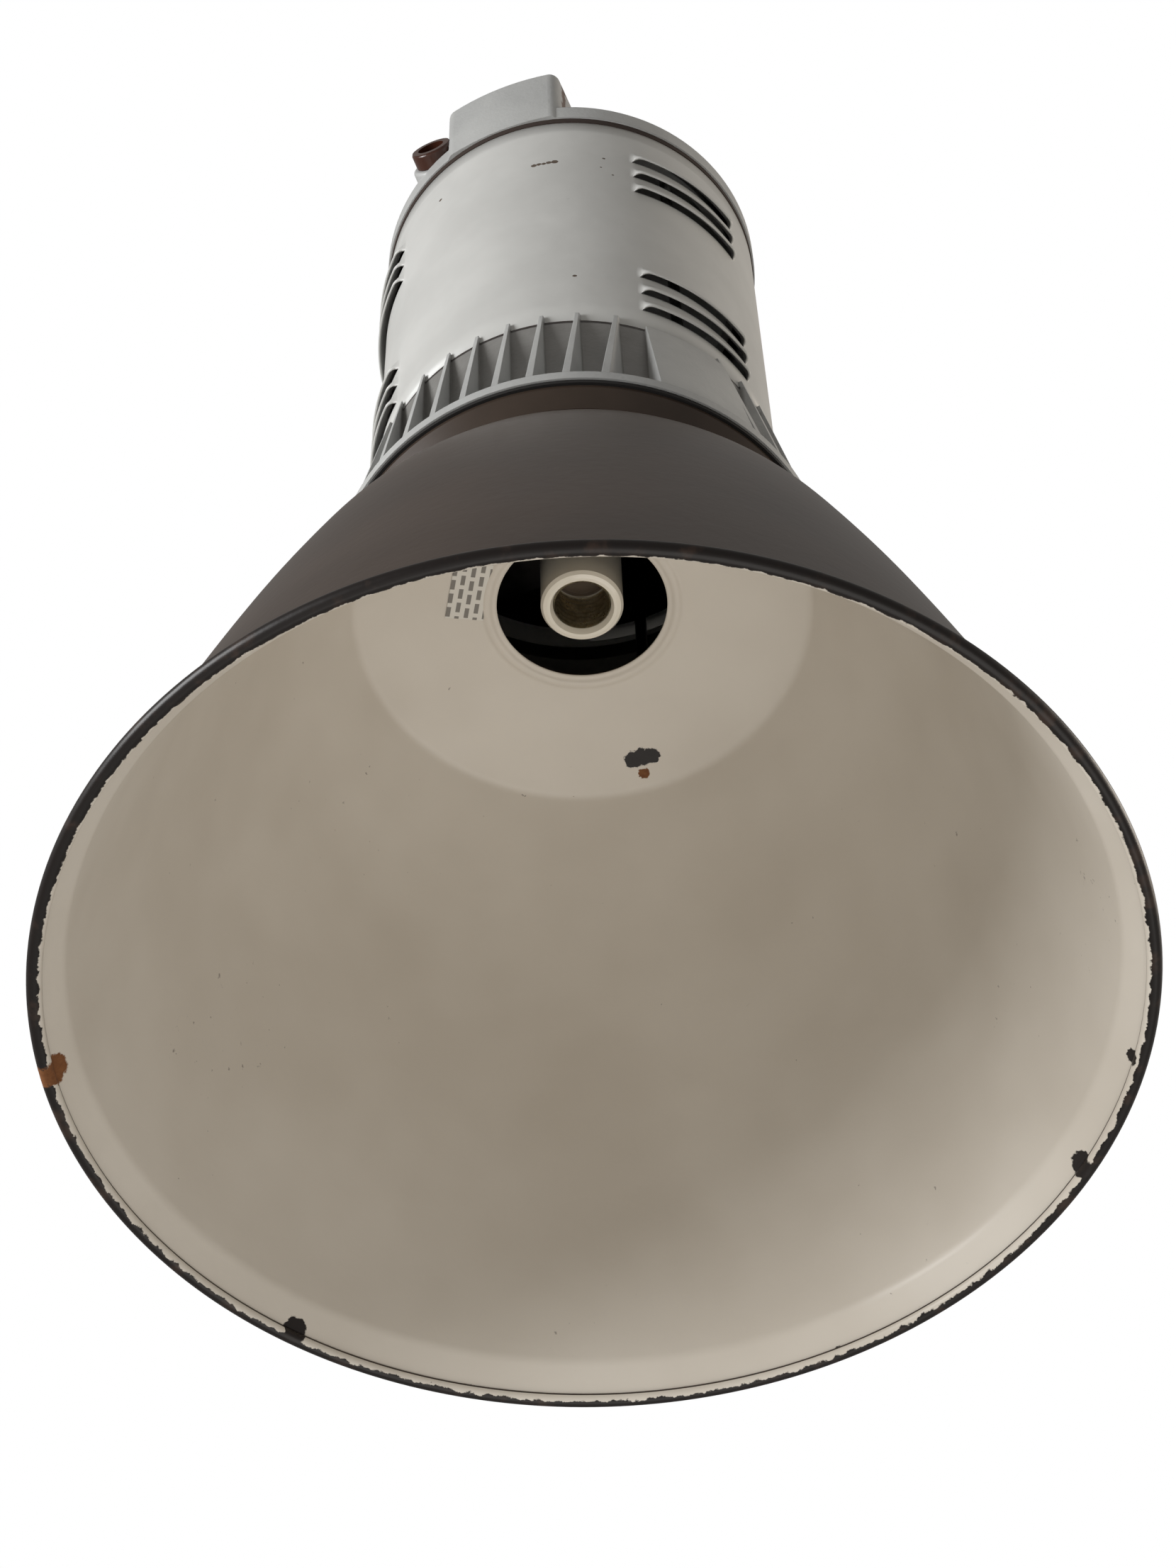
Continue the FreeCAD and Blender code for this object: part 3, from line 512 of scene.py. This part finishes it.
# %% Metals
def metal(slot, low, high, smooth, dull, scale=60.0, shade_below_height=None):
    """A metal that is duller and darker in patches, and coloured near-black as painted shade below a
    height.
    """
    f = Finish(slot.replace("_", " "), Metallic=1.0)
    patch = f.step(f.cloud(scale, 5.0, 0.65), 0.35, 0.68)
    tone = f.mix(patch, colour(*high), colour(*low))
    if shade_below_height:
        # Painted shade: below the height the metal turns near-black, as the shade inside the housing.
        painted_shade = f.step(f.height(), up(shade_below_height + 6), up(shade_below_height))
        tone = f.mix(painted_shade, tone, colour(26, 24, 23))
    f.set(Base_Color=tone,
          Roughness=f.maths("MULTIPLY_ADD", patch, dull - smooth, smooth))
    keep(slot, f)


metal("nickel_brass", (190, 182, 160), (232, 226, 208), 0.26, 0.42, 180.0)
metal("spring_brass", (150, 112, 60), (206, 170, 104), 0.25, 0.45, 240.0)
metal("zinc_steel", (120, 118, 114), (186, 186, 184), 0.28, 0.5, 90.0, shade_below_height=425)

# %% [markdown]
# ## Sticker
# The label in the bell carries plain bars where a maker would print its ratings. They are drawn by a brick
# pattern in the sticker's own direction, so no lettering is needed.

# %% Label material
LABEL_TURN = math.radians(32.4)
label = Finish("label paper", Roughness=0.45)
along = label.add("VectorMath", out=1, settings={"operation": "DOT_PRODUCT"}, i0=label.place(),
                  i1=(-math.sin(LABEL_TURN), math.cos(LABEL_TURN), 0.0))
sideways = label.add("VectorMath", out=1, settings={"operation": "DOT_PRODUCT"}, i0=label.place(),
                     i1=(math.cos(LABEL_TURN), math.sin(LABEL_TURN), 0.0))
lines = label.add("CombineXYZ", X=along, Y=label.maths("SUBTRACT", sideways, 0.0007))
bars = label.add("TexBrick", out=1, settings={"offset": 0.37}, Vector=lines, Scale=1.0, Mortar_Size=0.0012,
                 Brick_Width=0.0078, Row_Height=0.0044)
label.set(Base_Color=label.mix(bars, colour(122, 117, 110), colour(212, 208, 199)))
keep("label_paper", label)

# %% [markdown]
# ## Handing out the finishes
# The solid pieces arrive with plain materials named after their slots. Swapping each for the finish of the
# same name changes the look and leaves the shape alone.

# %% Give every solid piece its finish
for node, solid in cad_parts.items():
    for material_slot in solid.material_slots:
        wanted = material_slot.material.name.split(".")[0]
        if wanted in FINISHES:
            material_slot.material = FINISHES[wanted]
        else:
            print("no finish for", node, wanted)
print("finishes given")

# %% [markdown]
# ## Pieces that are modelled again
# Spinning, pressing and thread rolling all leave soft bends that a solid model states as crisp corners.
# These pieces are built as dense, smooth meshes on the same measures, and each says which solid piece it
# stands for.


# %% Mesh helpers
def smooth_line(points, steps):
    """A curve through the points (Catmull-Rom), as many steps to each span."""
    line = []
    for i in range(len(points) - 1):
        p = [Vector(points[max(0, min(j, len(points) - 1))]) for j in (i - 1, i, i + 1, i + 2)]
        for k in range(steps):
            t = k / steps
            line.append(0.5 * (2 * p[1] + (p[2] - p[0]) * t
                               + (2 * p[0] - 5 * p[1] + 4 * p[2] - p[3]) * t * t
                               + (3 * p[1] - p[0] - 3 * p[2] + p[3]) * t ** 3))
    return line + [Vector(points[-1])]


def rounded(points, radius, steps=5):
    """An open outline with each inner corner replaced by a curve that starts and ends near it."""
    line = [Vector(points[0])]
    for before, corner, after in zip(points, points[1:], points[2:]):
        before, corner, after = Vector(before), Vector(corner), Vector(after)
        reach = min(radius, 0.45 * (before - corner).length, 0.45 * (after - corner).length)
        start = corner + (before - corner).normalized() * reach
        end = corner + (after - corner).normalized() * reach
        for k in range(steps + 1):
            t = k / steps
            line.append(start * (1 - t) ** 2 + corner * 2 * t * (1 - t) + end * t * t)
    return line + [Vector(points[-1])]


def add_piece(name, bm, slot, node, smooth=True):
    """Make the object, give it its finish and its body, and let it stand for a solid piece."""
    bmesh.ops.recalc_face_normals(bm, faces=bm.faces)
    mesh = bpy.data.meshes.new(name)
    for face in bm.faces:
        face.smooth = smooth
    bm.to_mesh(mesh)
    bm.free()
    mesh.materials.append(FINISHES[slot])
    piece = bpy.data.objects.new(name, mesh)
    bpy.context.scene.collection.objects.link(piece)
    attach(piece, "fixture")
    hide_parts(node)
    print(name, "faces", len(mesh.polygons), "stands for", node)


def spin_closed(outline, segments):
    """Turn a closed outline of (radius, height) in millimetres a full turn about the vertical axis."""
    bm = bmesh.new()
    verts = [bm.verts.new((r * MM, 0, up(z))) for r, z in outline]
    edges = [bm.edges.new((a, b)) for a, b in zip(verts, verts[1:] + verts[:1])]
    bmesh.ops.spin(bm, geom=verts + edges, cent=(0, 0, 0), axis=(0, 0, 1), dvec=(0, 0, 0),
                   angle=math.tau, steps=segments, use_merge=True, use_duplicate=False)
    return bm


# %% [markdown]
# ## The bell
# A bell like this is spun: a flat disc of steel is pressed over a turning form, and its edge is rolled for
# stiffness. The section is one line of even thickness, so the outside is the inside line moved out by the
# sheet, and the rolled edge closes the loop. A shallow ring is pressed round the lamp hole.

# %% Spin the bell
SHEET = 1.5
BEAD = 3.2
rim_r = RIM_R / MM
FLARE = (214.4, 16)      # radius and height of the bend above the rim
wall = [FLARE, (195.6, 84), (173.4, 156), (154.5, 210), (142.5, 240), (129.6, 264.5)]
inner_wall = smooth_line(wall, 7)
crown = rounded([tuple(inner_wall[-1]), (109.5, 296.5), (48.5, 303.4), (46.6, 302.5), (44.6, 302.6),
                 (43.0, 303.9), (41.0, 304.0)], 3.0)
bead_r = rim_r - BEAD
inner_line = rounded([(bead_r - 2.5, BEAD + 1.0), (bead_r - 2.9, BEAD + 1.56), FLARE, tuple(inner_wall[2])],
                     2.5)[:-1]
inner_line += inner_wall[2:-1] + crown
outer_line = []
for i, p in enumerate(inner_line):
    run = (inner_line[min(i + 1, len(inner_line) - 1)] - inner_line[max(i - 1, 0)]).normalized()
    outer_line.append(p + Vector((run.y, -run.x)) * SHEET)
bead = [(bead_r + BEAD * math.cos(math.radians(a)), BEAD + BEAD * math.sin(math.radians(a)))
        for a in range(78, -206, -12)]
outline = [tuple(p) for p in inner_line] + [tuple(p) for p in reversed(outer_line)][:-2] + bead
add_piece("bell", spin_closed(outline, 256), "bell_enamel", "reflector")


# %% [markdown]
# ## The louvred shell
# Each louvre is one slit, with the sheet above it pressed outwards by a rounded punch. So the mesh is a
# sleeve of small faces, split along each slit, and the upper side of the slit is moved out. At the slit's
# ends the movement fades to nothing along a quarter circle, which is the rounded corner of the punch.

# %% Press the louvres
SLEEVE_STEPS = 480
SPAN, SLIT_H, PUSH, END = 38.5, 12.0, 4.3, 3.2
LOUVRE_PITCH = 17.2
SHELL_TOP = 622.0
SHELL_WALL = 1.0 * MM
TOPS = [tier - i * LOUVRE_PITCH for tier in (596.0, 467.0) for i in range(3)]
CENTRES = (60.0, -60.0, 180.0)


def punch(degrees):
    """How far out the punch pushes at an angle from the front: 1 along a louvre, 0 beyond its ends."""
    for centre in CENTRES:
        off = abs((degrees - centre + 180) % 360 - 180)
        inside_by = (SPAN / 2 - off) / END
        if inside_by > 0:
            return math.sqrt(1 - (1 - min(inside_by, 1)) ** 2)
    return 0.0


def hood(z):
    """How far the sheet has bent out at a height, and whether a slit lies at it."""
    for top in TOPS:
        if top - SLIT_H - 1e-6 <= z <= top:
            u = (top - z) / SLIT_H
            return u * u * (3 - 2 * u), abs(z - (top - SLIT_H)) < 1e-6
    return 0.0, False


rows = {shell_low.z / MM + HUB_TOP, SHELL_TOP}
rows |= {top - SLIT_H * k / 6 for top in TOPS for k in range(7)}
rows |= {430.0, 480.0, 500.0, 520.0, 540.0, 560.0, 610.0}
rows |= {top - SLIT_H - 1.0 for top in TOPS}
rows = sorted(rows)
shell_mesh = bmesh.new()
radius_mm = HOUSING_R / MM
grid = []
for z in rows:
    bend, slit = hood(z)
    upper, lower = [], []
    for i in range(SLEEVE_STEPS):
        degrees = 360 * i / SLEEVE_STEPS
        a = math.radians(degrees)
        out = PUSH * bend * punch(degrees)

        def corner(r):
            return shell_mesh.verts.new((r * MM * math.sin(a), -r * MM * math.cos(a), up(z)))

        upper.append(corner(radius_mm + out))
        lower.append(corner(radius_mm) if slit and out > 0 else upper[-1])
    grid.append((upper, lower))
for (upper, _), (_, lower) in zip(grid, grid[1:]):
    for i in range(SLEEVE_STEPS):
        j = (i + 1) % SLEEVE_STEPS
        shell_mesh.faces.new((upper[i], upper[j], lower[j], lower[i]))
bmesh.ops.recalc_face_normals(shell_mesh, faces=shell_mesh.faces)
bmesh.ops.solidify(shell_mesh, geom=shell_mesh.faces[:], thickness=SHELL_WALL)
add_piece("louvred_shell", shell_mesh, "grey_sheet", "housing_shell")


# %% [markdown]
# ## The screw shell
# The lamp's thread is rolled into thin brass, so the inside of the shell is one rounded helix and not a
# stack of rings. The radius depends on the angle and the height together, and that makes a thread out of
# rings.

# %% Roll the thread
PITCH, CREST, DEPTH = 3.63, 13.3, 0.55
BRASS = 0.12
RUN_OUT = 1.2            # height over which the thread fades at each end
low_z, high_z = 304.5, 330.2
THREAD_ROWS, THREAD_STEPS = 84, 96
thread = bmesh.new()
rings = []
for k in range(THREAD_ROWS + 1):
    z = low_z + (high_z - low_z) * k / THREAD_ROWS
    fade = min(1.0, (z - low_z) / RUN_OUT, (high_z - z) / RUN_OUT)
    ring = []
    for i in range(THREAD_STEPS):
        a = math.tau * i / THREAD_STEPS
        wave = 0.5 - 0.5 * math.cos(math.tau * z / PITCH - a)
        r = (CREST + DEPTH * wave * fade) * MM
        ring.append(thread.verts.new((r * math.cos(a), r * math.sin(a), up(z))))
    rings.append(ring)
for first, second in zip(rings, rings[1:]):
    for i in range(THREAD_STEPS):
        j = (i + 1) % THREAD_STEPS
        thread.faces.new((first[i], second[i], second[j], first[j]))
bmesh.ops.solidify(thread, geom=thread.faces[:], thickness=-BRASS * MM)
add_piece("screw_thread", thread, "nickel_brass", "screw_shell")
